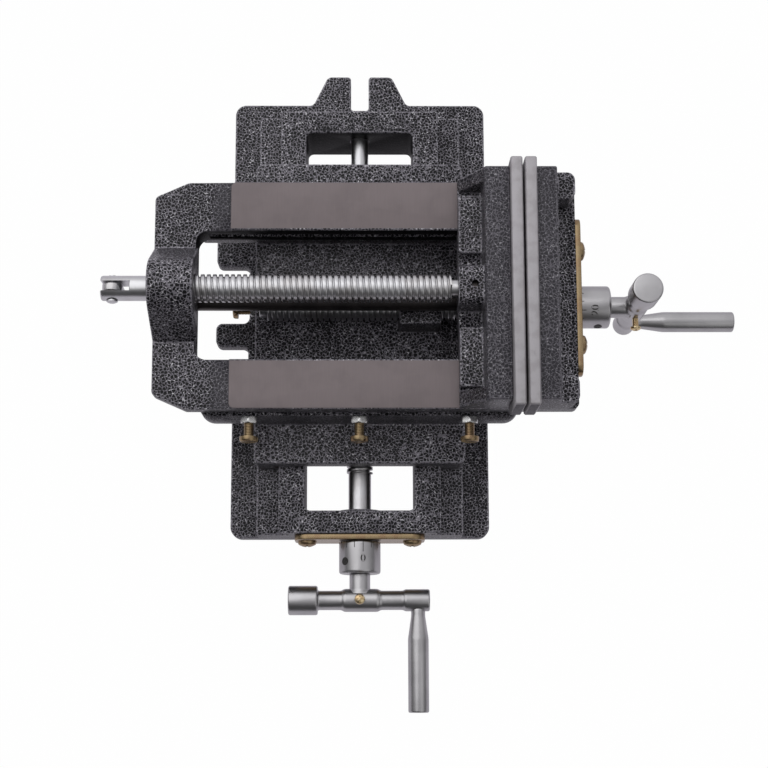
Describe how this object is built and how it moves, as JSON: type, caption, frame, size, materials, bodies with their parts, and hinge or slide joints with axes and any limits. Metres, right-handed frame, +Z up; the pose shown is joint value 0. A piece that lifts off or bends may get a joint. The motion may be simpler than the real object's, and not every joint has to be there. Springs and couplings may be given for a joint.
{
  "type": "cross slide vise",
  "caption": "Low cast vise on crossed dovetail slides, each driven by a lead screw with a dial and a balanced crank, with a screw that closes its movable jaw.",
  "frame": {"origin": "centre of the base's footprint on its underside, on the Y screw's line", "axes": "+X along the jaw travel towards the fixed jaw and the X crank, +Y from the Y crank to the rear ear, +Z up"},
  "size_m": [0.331, 0.356, 0.1085],
  "materials": {
    "hammertone_iron": "black hammertone enamel with grey flecks on rough casting",
    "machined_iron": "milled grey-brown iron, oiled",
    "jaw_plate_steel": "ground steel, matt grey",
    "bright_steel": "bright turned steel",
    "dark_rod_steel": "dark oiled steel",
    "satin_steel": "satin nickel-coloured steel",
    "yellow_zinc": "yellow zinc plating",
    "silver_zinc": "bright zinc plating",
    "brass_screw": "plain brass"
  },
  "bodies": {
    "base_group": {"base": "hammertone_iron", "y_bearing_plate": "yellow_zinc", "y_plate_screws": "yellow_zinc"},
    "y_screw_group": {"y_lead_screw": "bright_steel", "y_dial": "satin_steel", "y_dial_set_screw": "bright_steel", "y_crank_arm": "satin_steel", "y_crank_grip": "satin_steel", "y_crank_set_screw": "brass_screw"},
    "saddle_group": {"saddle": "hammertone_iron", "x_nut": "hammertone_iron", "x_nut_screws": "bright_steel", "y_nut": "machined_iron", "y_nut_screws": "bright_steel", "x_gib": "machined_iron", "y_gib": "machined_iron", "x_gib_screws": "yellow_zinc", "x_gib_locknuts": "silver_zinc", "y_gib_screws": "yellow_zinc", "y_gib_locknuts": "silver_zinc"},
    "vise_group": {"vise_body": "hammertone_iron", "fixed_jaw_plate": "jaw_plate_steel", "fixed_plate_screws": "bright_steel", "x_bearing_plate": "yellow_zinc", "x_plate_screws": "yellow_zinc", "guide_rod": "dark_rod_steel"},
    "x_screw_group": {"x_lead_screw": "bright_steel", "x_dial": "satin_steel", "x_dial_set_screw": "bright_steel", "x_crank_arm": "satin_steel", "x_crank_grip": "satin_steel", "x_crank_set_screw": "brass_screw"},
    "jaw_group": {"movable_jaw": "hammertone_iron", "movable_jaw_plate": "jaw_plate_steel", "movable_plate_screws": "bright_steel", "jaw_keepers": "machined_iron", "keeper_screws": "bright_steel", "jaw_retaining_pin": "bright_steel"},
    "main_screw_group": {"main_screw": "bright_steel", "clevis_pin": "bright_steel"},
    "link_group": {"handle_link": "bright_steel"}
  },
  "joints": [
    {"name": "y_screw_turn", "type": "hinge", "parent": "base_group", "child": "y_screw_group", "pos_m": [0, -0.126, 0.02], "axis": [0, -1, 0], "range_deg": [-5760.01, 5760.01]},
    {"name": "y_slide", "type": "slide", "parent": "base_group", "child": "saddle_group", "axis": [0, 1, 0], "range_m": [-0.048, 0.048]},
    {"name": "x_slide", "type": "slide", "parent": "saddle_group", "child": "vise_group", "axis": [1, 0, 0], "range_m": [-0.042, 0.06]},
    {"name": "x_screw_turn", "type": "hinge", "parent": "vise_group", "child": "x_screw_group", "pos_m": [0.113, -0.0067, 0.0535], "axis": [1, 0, 0], "range_deg": [-5040.01, 7200.01]},
    {"name": "jaw_slide", "type": "slide", "parent": "vise_group", "child": "jaw_group", "axis": [1, 0, 0], "range_m": [-0.126, 0.001]},
    {"name": "main_screw_turn", "type": "hinge", "parent": "jaw_group", "child": "main_screw_group", "pos_m": [0, -0.0067, 0.09], "axis": [1, 0, 0], "range_deg": [-15120.01, 120.01]},
    {"name": "handle_link_swing", "type": "hinge", "parent": "main_screw_group", "child": "link_group", "pos_m": [-0.1226, -0.0067, 0.09], "axis": [0, 1, 0], "range_deg": [-20, 200]}
  ],
  "couplings": [
    {"joint": "y_screw_turn", "follows": "y_slide", "rad_per_m": 2094.4},
    {"joint": "x_screw_turn", "follows": "x_slide", "rad_per_m": 2094.4},
    {"joint": "main_screw_turn", "follows": "jaw_slide", "rad_per_m": 2094.4}
  ]
}
